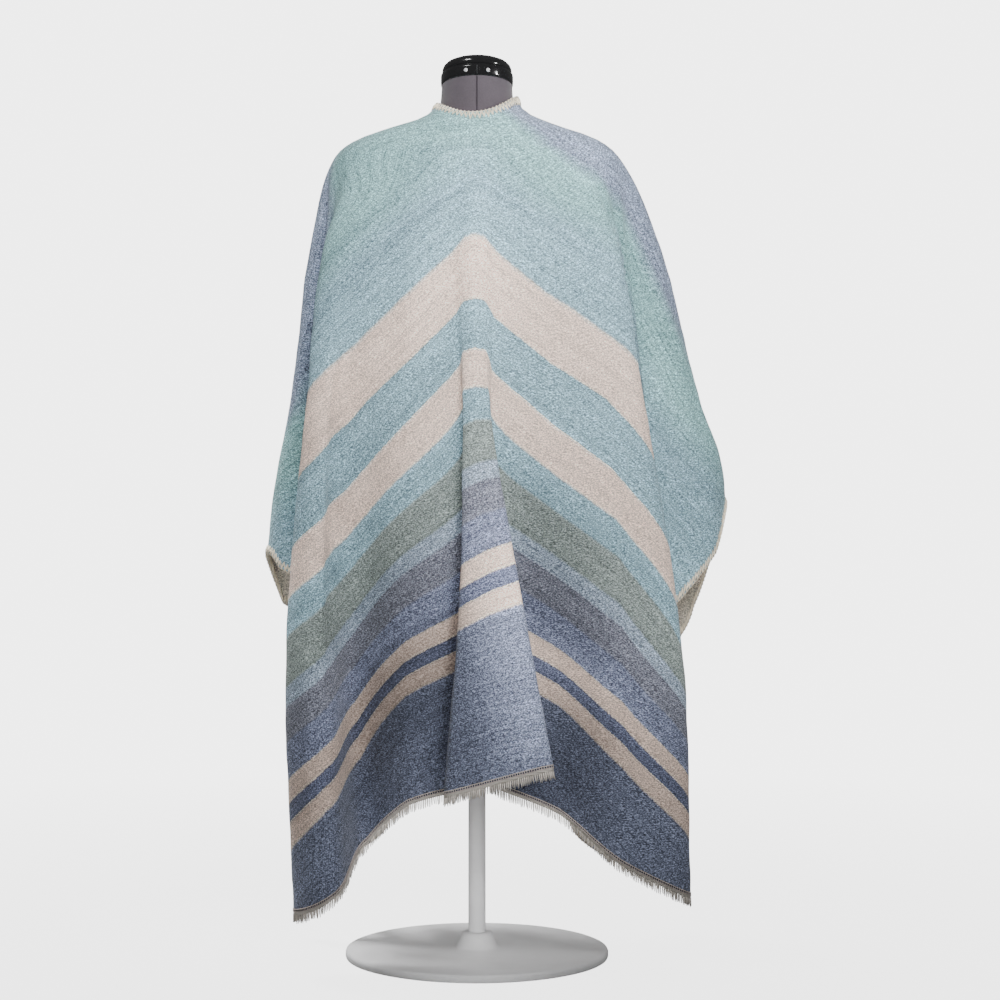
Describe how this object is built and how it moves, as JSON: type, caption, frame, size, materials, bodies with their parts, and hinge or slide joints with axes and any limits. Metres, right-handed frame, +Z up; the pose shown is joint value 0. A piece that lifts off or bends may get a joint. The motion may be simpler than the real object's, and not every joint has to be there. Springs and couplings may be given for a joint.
{
  "type": "knitted striped poncho wrap on a limbless dress form",
  "caption": "Open-front knitted poncho wrap with stripes and fringed hems, draped over a limbless dress form that stands on a pole and a round base.",
  "frame": {"origin": "centre of the underside of the stand's round base, on the floor", "axes": "+Z up the pole, -Y out of the wrap's back, +Y out of its open front, +X to the right seen from behind"},
  "size_m": [0.6666, 0.4861, 1.2979],
  "materials": {
    "wrap_cloth": "fine weft-ribbed melange knit in sea green, blush, slate and steel blue stripes, beige on the inner face",
    "fringe_yarn": "short beige-grey yarn ends",
    "form_jersey": "mauve-grey stretched jersey with a centre seam",
    "cap_plastic": "moulded black, glossy",
    "stand_steel": "satin pale grey powder coat"
  },
  "bodies": {
    "root": {"wrap_blanket": "wrap_cloth", "fringe_back": "fringe_yarn", "fringe_front_left": "fringe_yarn", "fringe_front_right": "fringe_yarn", "dress_form_torso": "form_jersey", "neck_cap": "cap_plastic", "stand_pole": "stand_steel", "stand_base": "stand_steel"}
  },
  "joints": []
}
